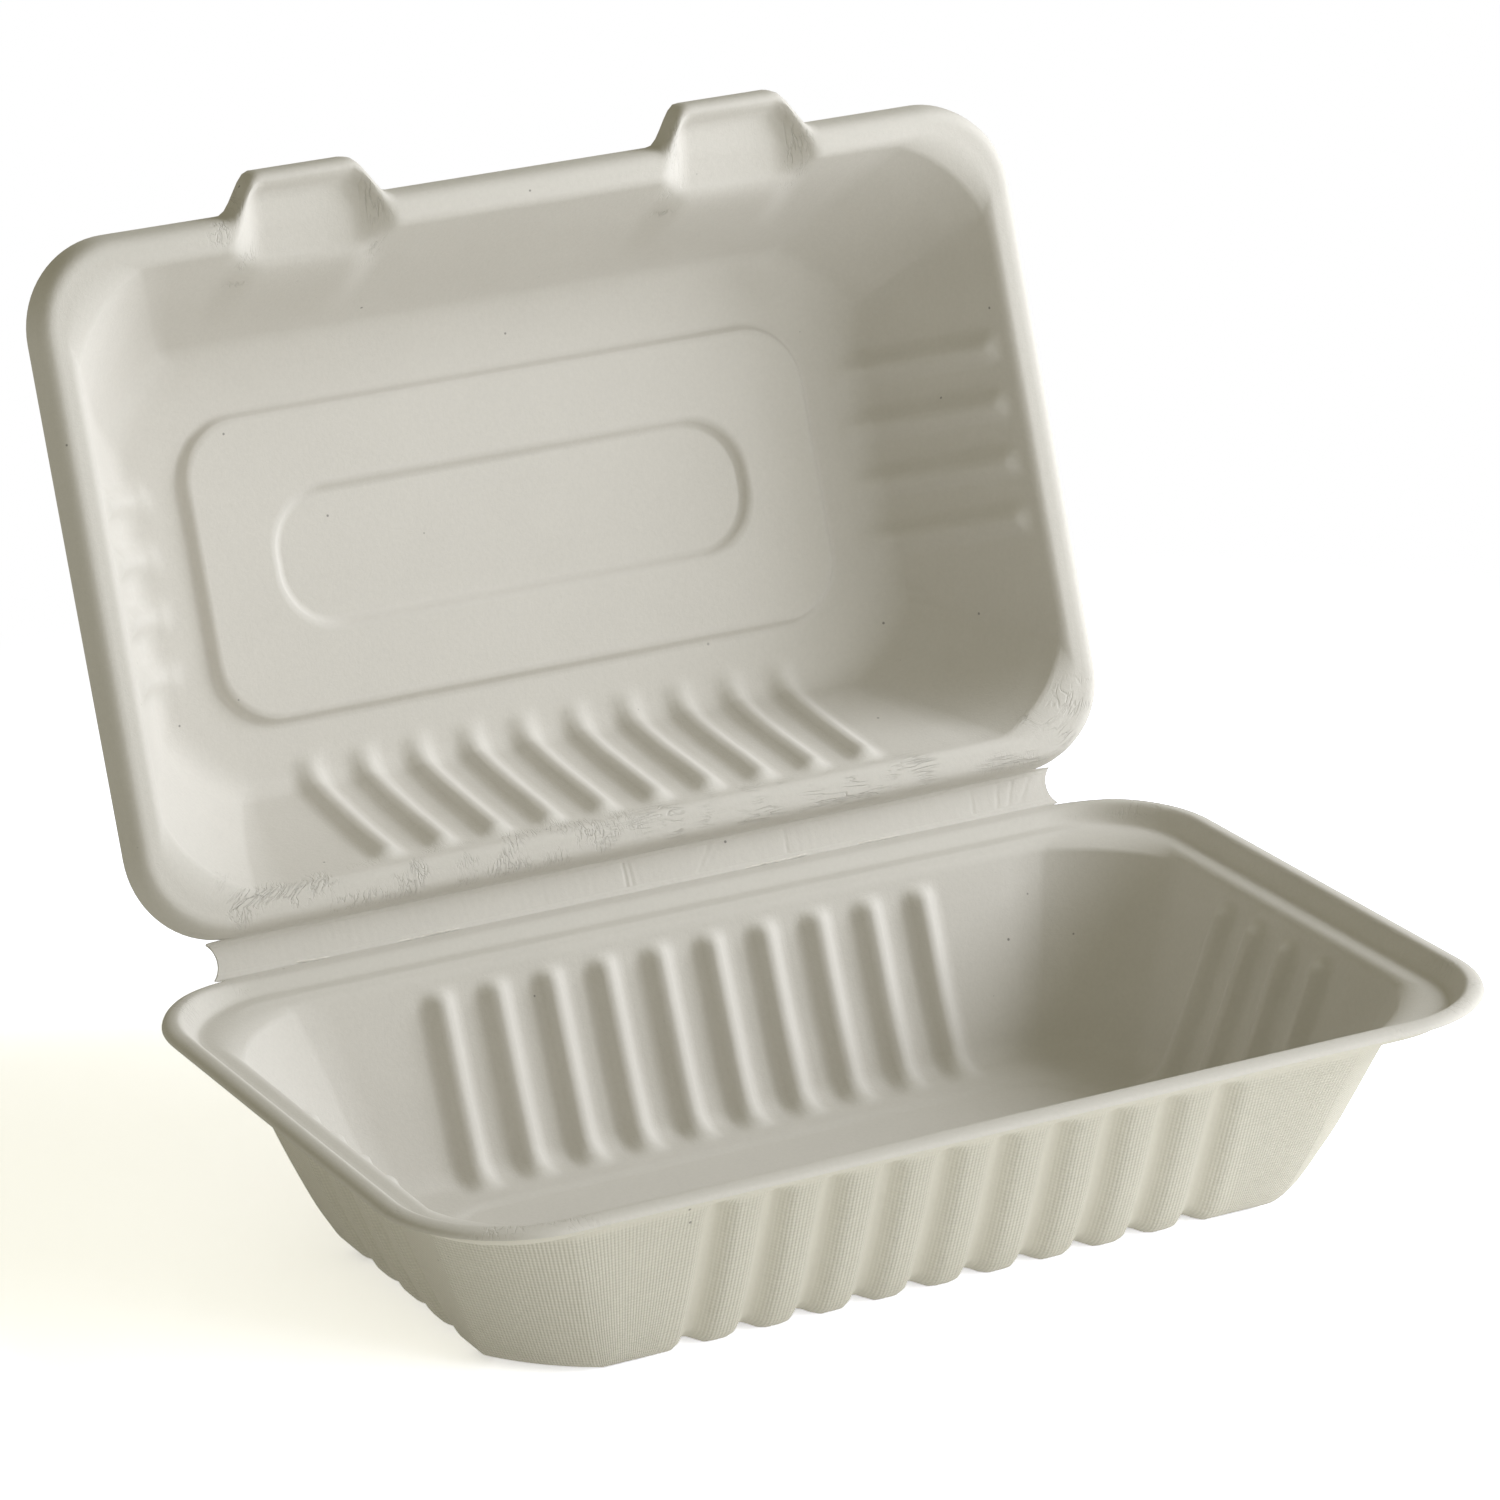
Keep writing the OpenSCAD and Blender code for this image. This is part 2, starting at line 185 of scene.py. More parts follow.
# One point of a moulded skin, lifted from the section or set back by the wall's thickness
def skinPoint(shape, column, row, normal, other, lift, wall):
    off = lift - wall
    inset = mix(row[0] + off * normal[0], row[2] + off * other[0], column[3])
    height = mix(row[1] + off * normal[1], row[3] + off * other[1], column[3])
    corner = row[5] + wall * normal[0] * (1 - 0.414 * row[6])
    half = (shape["half"][0] - row[7], shape["half"][1])
    x, y, z = ringPoint(half, shape["zones"], column, inset, height, corner, row[6])
    return (x, y, max(z, shape["lowest"]))


# A moulded shell of one sheet: a grid is wrapped into the rings of its outside and its inside skin
def mouldShell(name, shape, columns, rows, frameOf, marks, dent):
    startClean()
    count = len(columns)
    depth = len(rows)
    bpy.ops.mesh.primitive_grid_add(x_subdivisions=count, y_subdivisions=2 * depth - 1, size=0.2)
    shell = bpy.context.object
    shell.name = name
    shell.data.name = name
    for finish in (pulpInside, pulpOutside):
        shell.data.materials.append(finish)
    inside, outside = [], []
    for row, normal, other in zip(rows, rowNormals(rows, 0), rowNormals(rows, 2)):
        inner, outer = [], []
        for column in columns:
            lift = row[4] * column[2]
            lift += dent(row, skinPoint(shape, column, row, normal, other, lift, 0))
            inner.append(skinPoint(shape, column, row, normal, other, lift, 0))
            outer.append(skinPoint(shape, column, row, normal, other, lift, shape["wall"]))
        inside.append(inner + inner[:1])
        outside.append(outer + outer[:1])
    rings = outside[::-1] + inside
    order = list(range(depth))[::-1] + list(range(depth))
    flat = []
    for ring in rings:
        for point in ring:
            flat.extend((frameOf @ Vector(point)) * mm)
    shell.data.vertices.foreach_set("co", flat)
    for mark, painter in marks.items():
        layer = shell.data.attributes.new(mark, "FLOAT", "POINT")
        layer.data.foreach_set("value", [painter(columns[i % count], rows[r], inside[r][i])
                                         for r in order for i in range(count + 1)])
    wallRow = max(range(depth), key=lambda r: rows[r][4])
    feet = [0]
    for a, b in zip(inside[wallRow], inside[wallRow][1:]):
        feet.append(feet[-1] + math.dist(a, b))
    uv = shell.data.uv_layers.active
    for loop in shell.data.loops:
        r, i = divmod(loop.vertex_index, count + 1)
        uv.data[loop.index].uv = (feet[i] * mm, rows[order[r]][8] * mm)
    shell.data.polygons.foreach_set("material_index", [int(r < depth - 1) for r in range(2 * depth - 1)
                                                       for i in range(count)])
    shell.data.update()
    middleHeight = mix(outside[-1][0][2], inside[-1][0][2], 0.5)

    bpy.ops.object.mode_set(mode="EDIT")
    bpy.ops.mesh.select_all(action="SELECT")
    bpy.ops.mesh.remove_doubles(threshold=0.000004)
    bpy.ops.mesh.select_all(action="SELECT")
    bpy.ops.mesh.fill_holes(sides=0)
    bpy.ops.mesh.select_all(action="SELECT")
    bpy.ops.mesh.normals_make_consistent(inside=False)
    bpy.ops.object.mode_set(mode="OBJECT")
    uv = shell.data.uv_layers.active
    toFlat = frameOf.inverted()
    for cap in shell.data.polygons:
        if len(cap.vertices) > 8:
            cap.material_index = int((toFlat @ (cap.center / mm)).z < middleHeight)
            for corner in cap.loop_indices:
                spot = toFlat @ (shell.data.vertices[shell.data.loops[corner].vertex_index].co / mm)
                uv.data[corner].uv = (spot.x * mm, spot.y * mm)
    bpy.ops.object.shade_smooth_by_angle(angle=math.radians(55))
    return shell


# Slight unevenness of a wall between two places down its section, none at the rim and on the floor
def wallDent(row, point, dent):
    fade = blendSmooth((row[8] - dent["from"]) / 6) * blendSmooth((dent["to"] - row[8]) / 8)
    if fade == 0:
        return 0
    x, y, z = point
    broad = noise.noise(Vector((x * 0.035, y * 0.035, z * 0.05 + dent["seed"])))
    fine = noise.noise(Vector((x * 0.15, y * 0.15, z * 0.12 + dent["seed"])))
    return fade * (dent["broad"] * broad + dent["fine"] * fine)


# Pulp finishes. Scales are per metre of the sheet, depths are in metres.

pulpValues = {
    "inside": (0.645, 0.625, 0.582, 1), "outside": (0.635, 0.615, 0.54, 1),
    "roughness": 0.88, "shine": 0.25,
    "mottle": 0.05, "mottleScale": 55.0, "grain": 0.05, "grainScale": 1100.0,
    "fibreScale": 420.0, "fibreBendScale": 160.0, "fibreBend": (0.012, 0.012, 0.012),
    "fleck": 0.55, "fleckScale": 150.0, "fleckRarity": (0.80, 0.84), "fibreDepth": 0.00006,
    "creases": (("Across", (1.0, 0.30, 1.0), 950.0), ("Along", (0.14, 1.0, 1.0), 800.0)),
    "creaseGaps": 130.0, "creaseWidth": 0.05, "creasePaintedShade": 0.07, "creaseDepth": -0.00011,
    "weaveCell": 0.0015, "weaveShade": 0.085, "weaveDepth": 0.00009, "bareLitShade": 0.04, "tornHighlightShade": 0.3,
}


def newGroup(name, inputs, outputs):
    tree = bpy.data.node_groups.new(name, "ShaderNodeTree")
    for label, kind, value in inputs:
        socket = tree.interface.new_socket(label, in_out="INPUT", socket_type=kind)
        if value is not None:
            socket.default_value = value
    for label, kind in outputs:
        tree.interface.new_socket(label, in_out="OUTPUT", socket_type=kind)
    return tree, tree.nodes.new("NodeGroupInput"), tree.nodes.new("NodeGroupOutput")


def addNode(tree, kind, links=None, **settings):
    node = tree.nodes.new(kind)
    for key, value in settings.items():
        setattr(node, key, value)
    for socket, source in (links or {}).items():
        if hasattr(source, "is_linked"):
            tree.links.new(source, node.inputs[socket])
        else:
            node.inputs[socket].default_value = source
    return node


def math2(tree, operation, a, b=0.0, clamp=False):
    return addNode(tree, "ShaderNodeMath", {0: a, 1: b}, operation=operation, use_clamp=clamp).outputs[0]


def ramp(tree, value, low, high, toLow=0.0, toHigh=1.0):
    node = addNode(tree, "ShaderNodeMapRange", {0: value, 1: low, 2: high, 3: toLow, 4: toHigh},
                   interpolation_type="SMOOTHSTEP")
    return node.outputs[0]


# Fibre grain, flecks and soft mottling that every pulp surface shows
def fibreGroup():
    tree, given, result = newGroup("pulpFibre", [
        ("Place", "NodeSocketVector", None), ("Mottle", "NodeSocketFloat", 0.05),
        ("Grain", "NodeSocketFloat", 0.05), ("Fleck", "NodeSocketFloat", 0.5)],
        [("Shade", "NodeSocketFloat"), ("Height", "NodeSocketFloat")])
    v = pulpValues
    place = given.outputs["Place"]
    cloud = addNode(tree, "ShaderNodeTexNoise", {"Vector": place, "Scale": v["mottleScale"], "Detail": 4.0,
                                                 "Roughness": 0.6})
    grain = addNode(tree, "ShaderNodeTexNoise", {"Vector": place, "Scale": v["grainScale"], "Detail": 3.0,
                                                 "Roughness": 0.7})
    bend = addNode(tree, "ShaderNodeTexNoise", {"Vector": place, "Scale": v["fibreBendScale"],
                                                "Detail": 2.0})
    moved = addNode(tree, "ShaderNodeVectorMath", {0: bend.outputs["Color"], 1: v["fibreBend"]},
                    operation="MULTIPLY")
    turnedPlace = addNode(tree, "ShaderNodeVectorMath", {0: place, 1: moved.outputs[0]}, operation="ADD")
    fibre = addNode(tree, "ShaderNodeTexVoronoi", {"Vector": turnedPlace.outputs[0],
                                                   "Scale": v["fibreScale"]},
                    feature="DISTANCE_TO_EDGE")
    hair = ramp(tree, fibre.outputs["Distance"], 0.0, 0.05, 1.0, 0.0)
    dots = addNode(tree, "ShaderNodeTexVoronoi", {"Vector": place, "Scale": v["fleckScale"],
                                                  "Randomness": 1.0})
    dot = ramp(tree, dots.outputs["Distance"], 0.03, 0.055, 1.0, 0.0)
    chance = addNode(tree, "ShaderNodeSeparateColor", {0: dots.outputs["Color"]}).outputs[0]
    rare = ramp(tree, chance, *v["fleckRarity"])
    fleck = math2(tree, "MULTIPLY", math2(tree, "MULTIPLY", dot, rare), given.outputs["Fleck"])
    cloudy = math2(tree, "SUBTRACT", cloud.outputs["Fac"], 0.5)
    grainy = math2(tree, "SUBTRACT", grain.outputs["Fac"], 0.5)
    soft = math2(tree, "MULTIPLY", cloudy, given.outputs["Mottle"])
    fine = math2(tree, "MULTIPLY", grainy, given.outputs["Grain"])
    shade = math2(tree, "ADD", math2(tree, "ADD", 1.0, soft), math2(tree, "MULTIPLY", fine, 2.0))
    shade = math2(tree, "MULTIPLY", shade, math2(tree, "SUBTRACT", 1.0, fleck))
    height = math2(tree, "ADD", math2(tree, "MULTIPLY", grain.outputs["Fac"], 0.7),
                   math2(tree, "MULTIPLY", hair, 0.12))
    tree.links.new(shade, result.inputs["Shade"])
    tree.links.new(height, result.inputs["Height"])
    return tree


# Fine creases that the wet sheet takes at its tight bends: across the rim, and along it. Their lines are
# bumped, and darkened with painted shade.
def creaseGroup():
    v = pulpValues
    tree, given, result = newGroup("pulpCrease", [
        ("Sheet", "NodeSocketVector", None), ("Across", "NodeSocketFloat", 0.0),
        ("Along", "NodeSocketFloat", 0.0)],
        [("Shade", "NodeSocketFloat"), ("Height", "NodeSocketFloat")])
    sheet = given.outputs["Sheet"]
    total = None
    for amount, stretch, size in v["creases"]:
        laid = addNode(tree, "ShaderNodeVectorMath", {0: sheet, 1: stretch}, operation="MULTIPLY")
        lines = addNode(tree, "ShaderNodeTexNoise", {"Vector": laid.outputs[0], "Scale": size,
                                                     "Detail": 3.0, "Roughness": 0.5, "Distortion": 0.4})
        apart = addNode(tree, "ShaderNodeTexNoise", {"Vector": sheet, "Scale": v["creaseGaps"],
                                                     "Detail": 1.0})
        centred = math2(tree, "ABSOLUTE", math2(tree, "SUBTRACT", lines.outputs["Fac"], 0.5))
        fold = ramp(tree, centred, 0.0, v["creaseWidth"], 1.0, 0.0)
        fold = math2(tree, "MULTIPLY", fold, ramp(tree, apart.outputs["Fac"], 0.42, 0.62))
        fold = math2(tree, "MULTIPLY", fold, given.outputs[amount])
        total = fold if total is None else math2(tree, "MAXIMUM", total, fold)
    # Painted shade: the colour is darkened along the crease lines
    darker = math2(tree, "MULTIPLY", total, v["creasePaintedShade"])
    tree.links.new(math2(tree, "SUBTRACT", 1.0, darker), result.inputs["Shade"])
    tree.links.new(total, result.inputs["Height"])
    return tree


# Print of the forming mesh on the outside of the shell
def meshGroup():
    tree, given, result = newGroup("meshPrint", [
        ("Sheet", "NodeSocketVector", None), ("Cell", "NodeSocketFloat", 0.001),
        ("Amount", "NodeSocketFloat", 1.0)],
        [("Shade", "NodeSocketFloat"), ("Height", "NodeSocketFloat")])
    parts = addNode(tree, "ShaderNodeSeparateXYZ", {0: given.outputs["Sheet"]})
    step = math2(tree, "DIVIDE", 2 * math.pi, given.outputs["Cell"])
    u = math2(tree, "MULTIPLY", parts.outputs[0], step)
    v = math2(tree, "MULTIPLY", parts.outputs[1], step)
    first = math2(tree, "SINE", math2(tree, "ADD", u, v))
    second = math2(tree, "SINE", math2(tree, "SUBTRACT", u, v))
    cell = math2(tree, "MULTIPLY", math2(tree, "MULTIPLY", first, second), given.outputs["Amount"])
    lighter = math2(tree, "MULTIPLY", cell, pulpValues["weaveShade"])
    tree.links.new(math2(tree, "ADD", 1.0, lighter), result.inputs["Shade"])
    tree.links.new(cell, result.inputs["Height"])
    return tree


fibreTree = fibreGroup()
creaseTree = creaseGroup()
meshTree = meshGroup()


def placeGroup(tree, group, links):
    return addNode(tree, "ShaderNodeGroup", links, node_tree=group)


def pulpMaterial(name, colour, weave):
    material = bpy.data.materials.new(name)
    material.use_nodes = True
    material.diffuse_color = colour
    tree = material.node_tree
    tree.nodes.clear()
    end = tree.nodes.new("ShaderNodeOutputMaterial")
    skin = tree.nodes.new("ShaderNodeBsdfPrincipled")
    v = pulpValues
    skin.inputs["Roughness"].default_value = v["roughness"]
    skin.inputs["Specular IOR Level"].default_value = v["shine"]
    place = tree.nodes.new("ShaderNodeTexCoord").outputs["Object"]
    sheet = addNode(tree, "ShaderNodeUVMap", uv_map="UVMap").outputs[0]
    marks = {mark: addNode(tree, "ShaderNodeAttribute", attribute_name=mark).outputs["Fac"]
             for mark in ("radial", "lengthwise", "groove", "plain", "torn")}
    fibre = placeGroup(tree, fibreTree, {"Place": place, "Mottle": v["mottle"], "Grain": v["grain"],
                                         "Fleck": v["fleck"]})
    crease = placeGroup(tree, creaseTree, {"Sheet": sheet, "Across": marks["radial"],
                                           "Along": marks["lengthwise"]})
    shade = math2(tree, "MULTIPLY", fibre.outputs["Shade"], crease.outputs["Shade"])
    # Painted highlight on the torn ridges of the fold, and painted shade in their slits
    torn = math2(tree, "MULTIPLY", marks["torn"], v["tornHighlightShade"])
    shade = math2(tree, "MULTIPLY", shade, math2(tree, "ADD", 1.0, torn))
    height = math2(tree, "ADD", math2(tree, "MULTIPLY", fibre.outputs["Height"], v["fibreDepth"]),
                   math2(tree, "MULTIPLY", crease.outputs["Height"], v["creaseDepth"]))
    if weave:
        bare = math2(tree, "MAXIMUM", marks["groove"], marks["plain"])
        amount = math2(tree, "SUBTRACT", 1.0, bare, True)
        printed = placeGroup(tree, meshTree, {"Sheet": sheet, "Cell": v["weaveCell"], "Amount": amount})
        shade = math2(tree, "MULTIPLY", shade, printed.outputs["Shade"])
        # Where the mesh left no print, in the rib grooves and on the rim, the colour is lighter: partly the
        # smoother sheet, partly painted light on the lit strips of the grooves
        smoothAndLitBand = math2(tree, "MULTIPLY", bare, v["bareLitShade"])
        shade = math2(tree, "MULTIPLY", shade, math2(tree, "ADD", 1.0, smoothAndLitBand))
        raised = math2(tree, "MULTIPLY", printed.outputs["Height"], v["weaveDepth"])
        height = math2(tree, "ADD", height, raised)
    scaled = addNode(tree, "ShaderNodeVectorMath", {0: colour[:3], "Scale": shade}, operation="SCALE")
    tree.links.new(scaled.outputs[0], skin.inputs["Base Color"])
    bump = addNode(tree, "ShaderNodeBump", {"Height": height, "Distance": 1.0, "Strength": 1.0})
    tree.links.new(bump.outputs[0], skin.inputs["Normal"])
    tree.links.new(skin.outputs[0], end.inputs["Surface"])
    return material


pulpInside = pulpMaterial("pulpInside", pulpValues["inside"], False)
pulpOutside = pulpMaterial("pulpOutside", pulpValues["outside"], True)


# Tray

trayValues = {
    "length": 232, "width": 147.5, "height": 44, "corner": 27, "wall": 1.3, "draft": 22.5,
    "chamferTop": 20, "chamferFloor": 15, "shortRibsEnd": 22.5, "floorRadius": 6,
    "panelStep": 0.5, "panelMargin": 3.5, "panelSlope": 2, "panelFlat": 1.5, "panelShort": 4.7,
    "panelCorner": 14,
    "beadHeight": 1.5, "beadWidth": 3, "slope": 4.2, "channelDepth": 4, "channelWidth": 2.4, "shoulder": 3,
    "backRim": (-1.5, -1.42, -1.32, -1.27, -1.3), "backChannel": 3.6,
    "ribRise": 2.8, "ribMargin": 1, "ribLead": 3.5, "ribNose": 4, "flatTop": 0.45, "flatFloor": 0.75,
    "longRibs": {"count": 10, "pitch": 12, "width": 8.4},
    "shortRibs": {"count": 4, "pitch": 12, "width": 8.4}, "ribZones": (24, 62, 24, 62),
    "bareRim": 19, "creasedRim": 9, "dent": {"from": 12, "to": 54, "seed": 3, "broad": 0.3, "fine": 0.07},
    "cornerSteps": 18, "rowSpacing": 1.2, "columnSpacing": 1.3,
}


# Corner size and flatness for each key row, from the rim's round to the wall's chamfer
def cornerShares(keys, rim, top, foot, steps, values):
    result = []
    start = rim - keys[top - steps][0]
    for i, key in enumerate(keys):
        if i <= top - steps:
            result.append((rim - key[0], 0))
        elif i <= top:
            share = (i - top + steps) / steps
            result.append((mix(start, values["chamferTop"], share), values["flatTop"] * share))
        else:
            share = min(math.dist(key, keys[top]) / math.dist(keys[foot], keys[top]), 1)
            room = values["width"] / 2 - key[0] - values["shortRibsEnd"]
            result.append((min(mix(values["chamferTop"], values["chamferFloor"], share), room),
                           mix(values["flatTop"], values["flatFloor"], share)))
    return result


def trayRows(v):
    turns = [math.radians(a) for a in (0, 22, 45, 67, 90)]
    rim = [(v["beadWidth"] * (1 - math.cos(a)), -v["beadHeight"] * (1 - math.sin(a))) for a in turns]
    x = v["beadWidth"]
    slope = [(x + v["slope"] * k / 6, -v["channelDepth"] * (1 - math.cos(math.pi * k / 6)) / 2)
             for k in range(1, 7)]
    channel = [(x + v["slope"] + v["channelWidth"], -v["channelDepth"])]
    edge = shoulderKeys(channel[0], v["shoulder"], v["draft"])
    floor = v["wall"] - v["height"]
    side = wallKeys(edge[-1], floor, v["draft"], v["floorRadius"], v["ribMargin"], v["ribLead"],
                    v["ribNose"])
    keys = rim + slope + channel + edge + side
    top = len(keys) - len(side) - 1
    foot = len(keys) - 1
    shares = cornerShares(keys, v["corner"], top, foot, len(edge), v)
    rises = [0] * (top + 2) + [1] * (foot - top - 4) + [0.85, 0.55, 0]
    back = [(key[0], height) for key, height in zip(rim, v["backRim"])]
    drop = v["backChannel"] + v["backRim"][-1]
    back += [(key[0], v["backRim"][-1] - drop * (1 - math.cos(math.pi * k / 6)) / 2)
             for k, key in enumerate(slope, 1)]
    back += [(channel[0][0], -v["backChannel"])]
    back += keys[len(back):]
    full = [tuple(key) + tuple(flat) + (rise * v["ribRise"],) + share + (0,)
            for key, flat, rise, share in zip(keys, back, rises, shares)]
    at = keys[-1][0] + v["panelMargin"]
    width, step = v["panelSlope"], v["panelStep"]
    for inset, height in ((at, floor), (at + width, floor - step),
                          (at + width + v["panelFlat"], floor - step)):
        corner = v["panelCorner"] + at + width - inset
        full.append((inset, height, inset, height, 0, corner, 0, v["panelShort"]))
    return fineRows(full, v["rowSpacing"])


trayFrame = Matrix.Translation((0, 0, trayValues["height"]))


# How far a column's rim has the flat form of the hinge side
def backShare(column):
    side, u = column[:2]
    return {1: 1, 4: blendSmooth((u - 0.5) / 0.5), 5: blendSmooth((0.5 - u) / 0.5)}.get(side, 0)


def buildTray(v):
    shape = {"half": (v["length"] / 2, v["width"] / 2), "zones": v["ribZones"], "wall": v["wall"],
             "lowest": -v["height"]}
    columns = []
    for side in range(4):
        ribs = v["shortRibs"] if side % 2 == 0 else v["longRibs"]
        columns += straightColumns(side, shape["zones"][side], ribs, None, v["columnSpacing"])
        columns += cornerColumns(side, v["cornerSteps"])
    columns = [column[:3] + (backShare(column),) for column in columns]
    marks = {
        "groove": lambda column, row, point: column[2] * (row[4] > 0.2),
        "plain": lambda column, row, point: blendSmooth((v["bareRim"] - row[8]) / 2),
        "radial": lambda column, row, point: (0.5 * (column[0] > 3)
                                              * blendSmooth((v["creasedRim"] - row[8]) / 3)),
    }
    return mouldShell("trayShell", shape, columns, trayRows(v), trayFrame, marks,
                      lambda row, point: wallDent(row, point, v["dent"]))


# Lid

lidValues = {
    "length": 218.5, "width": 140, "depth": 32.85, "corner": 19, "wall": 0.5, "draft": 24,
    "chamferTop": 17, "chamferFloor": 15, "shortRibsEnd": 22.5, "floorRadius": 6,
    "beadHeight": 5.5, "skirt": 1.8, "beadWidth": 6.4,
    "panelInset": 39.6, "panelRise": 1.8, "panelSlope": 1.6, "panelCorner": 12,
    "recessInset": 55.4, "recessDepth": 1.7, "recessSlope": 1.5, "recessTight": 1.4,
    "ribRise": 2, "ribMargin": 1, "ribLead": 3.5, "ribNose": 4, "flatTop": 0.45, "flatFloor": 0.75,
    "tabs": {"place": 47.5, "width": 20, "flank": 8}, "tabReach": 7.95, "tabLip": 3.4, "tabDrop": 3.4,
    "longRibs": {"count": 10, "pitch": 12, "width": 8.4},
    "shortRibs": {"count": 4, "pitch": 12, "width": 8.4}, "shortZone": 24, "longZone": 62,
    "bareRim": 15, "dent": {"from": 14, "to": 52, "seed": 7, "broad": 0.3, "fine": 0.07},
    "cornerSteps": 18, "rowSpacing": 1.2, "columnSpacing": 1.3,
}
hingeValues = {
    "foldY": 73.9, "foldZ": 42.5, "stripAngle": 62, "lidAngle": 71.5, "clearance": 0.15,
    "width": 7.6, "thickness": 0.7, "length": 192, "endRadius": 5, "endDepth": 2.2, "cornerStart": 90.5,
}


def onStrip():
    h = hingeValues
    return (Matrix.Translation((0, h["foldY"], h["foldZ"]))
            @ Matrix.Rotation(math.radians(h["stripAngle"]), 4, "X"))


def onLid():
    h = hingeValues
    return (onStrip() @ Matrix.Translation((0, h["width"], 0))
            @ Matrix.Rotation(math.radians(h["lidAngle"] - h["stripAngle"]), 4, "X")
            @ Matrix.Translation((0, lidValues["width"] / 2 + h["clearance"], 0)))


stripFrame = onStrip()
lidFrame = onLid()


def lidRows(v):
    high, skirt, bead = v["beadHeight"], v["skirt"], v["beadWidth"]
    rim = [(0, 0), (0.45 * skirt, 0.5 * high), (skirt, 0.84 * high), (skirt + 0.25 * bead, high),
           (skirt + 0.6 * bead, 0.97 * high)]
    radius = 0.4 * bead / math.cos(math.radians(v["draft"]))
    edge = shoulderKeys(rim[-1], radius, v["draft"])
    side = wallKeys(edge[-1], -v["depth"], v["draft"], v["floorRadius"], v["ribMargin"], v["ribLead"],
                    v["ribNose"])
    keys = rim + edge + side
    top = len(keys) - len(side) - 1
    foot = len(keys) - 1
    shares = cornerShares(keys, v["corner"], top, foot, len(edge), v)
    rises = [0] * (top + 2) + [1] * (foot - top - 4) + [0.85, 0.55, 0]
    reach, lip, drop = v["tabReach"], v["tabLip"], v["tabDrop"]
    ledge = (0.35 * (skirt + bead), high - 1.2 * drop)
    pocket = keys[top + 2]
    tab = [(-reach, 0), (0.15 * lip - reach, 0.55 * high), (0.4 * lip - reach, 0.9 * high),
           (0.75 * lip - reach, high), (1.15 * lip - reach, high - 0.35 * drop),
           (1.6 * lip - reach, high - drop), (mix(1.6 * lip - reach, ledge[0], 0.6), high - 1.12 * drop),
           ledge]
    for share in (0.35, 0.7):
        tab.append((mix(ledge[0], pocket[0], share), mix(ledge[1], pocket[1], share)))
    tab += keys[len(tab):]
    full = [tuple(key) + tuple(t) + (rise * v["ribRise"],) + share + (0,)
            for key, t, rise, share in zip(keys, tab, rises, shares)]
    floor = -v["depth"]
    recessCorner = v["width"] / 2 - v["recessInset"] - v["recessTight"]
    for inset, height, corner in (
            (v["panelInset"] - v["panelSlope"], floor, v["panelCorner"] + v["panelSlope"]),
            (v["panelInset"], floor + v["panelRise"], v["panelCorner"]),
            (v["recessInset"], floor + v["panelRise"], recessCorner),
            (v["recessInset"] + v["recessSlope"], floor + v["panelRise"] - v["recessDepth"],
             recessCorner - v["recessSlope"]),
            (v["recessInset"] + 2 * v["recessSlope"], floor + v["panelRise"] - v["recessDepth"],
             recessCorner - 2 * v["recessSlope"])):
        full.append((inset, height, inset, height, 0, corner, 0, 0))
    return fineRows(full, v["rowSpacing"])


def buildLid(v):
    tabsEnd = v["tabs"]["place"] + v["tabs"]["width"] / 2 + v["tabs"]["flank"] + 1
    shape = {"half": (v["length"] / 2, v["width"] / 2), "wall": v["wall"], "lowest": -math.inf,
             "zones": (v["shortZone"], tabsEnd, v["shortZone"], v["longZone"])}
    plain = {"count": 0, "pitch": 1, "width": 1}
    columns = []
    for side, ribs, tabs in ((0, v["shortRibs"], None), (1, plain, v["tabs"]),
                             (2, v["shortRibs"], None), (3, v["longRibs"], None)):
        columns += straightColumns(side, shape["zones"][side], ribs, tabs, v["columnSpacing"])
        columns += cornerColumns(side, v["cornerSteps"])

    # Creases across the bead: above the hinge's left half, at its right end, and beside the tabs
    def radial(column, row, point):
        x, y, z = point
        across = blendSmooth((row[8] - 2) / 3) * blendSmooth((17 - row[8]) / 5)
        inner = blendSmooth((96 - abs(x)) / 8) * blendSmooth((-50 - y) / 6)
        hinge = inner * (blendSmooth((8 - x) / 20) + 0.6 * blendSmooth((x - 70) / 8))
        flank = 4 * column[3] * (1 - column[3]) * (row[8] < 26)
        left = (y > 55) * blendSmooth((6 - abs(x + 68)) / 4) * (row[8] < 12)
        return min(max(across * hinge, flank, left), 1)

    # Cracks along the bead: above the hinge's right half
    def lengthwise(column, row, point):
        across = blendSmooth((row[8] - 2) / 3) * blendSmooth((16 - row[8]) / 4)
        return blendSmooth((-50 - point[1]) / 6) * across * blendSmooth((point[0] + 20) / 25)

    marks = {
        "groove": lambda column, row, point: column[2] * (row[4] > 0.2),
        "plain": lambda column, row, point: blendSmooth((v["bareRim"] - row[8]) / 2),
        "radial": radial,
        "lengthwise": lengthwise,
    }
    return mouldShell("lidShell", shape, columns, lidRows(v), lidFrame, marks,
                      lambda row, point: wallDent(row, point, v["dent"]))


# Hinge: the pressed band between the two folds, with its cracks, and the sheet that bends at each fold

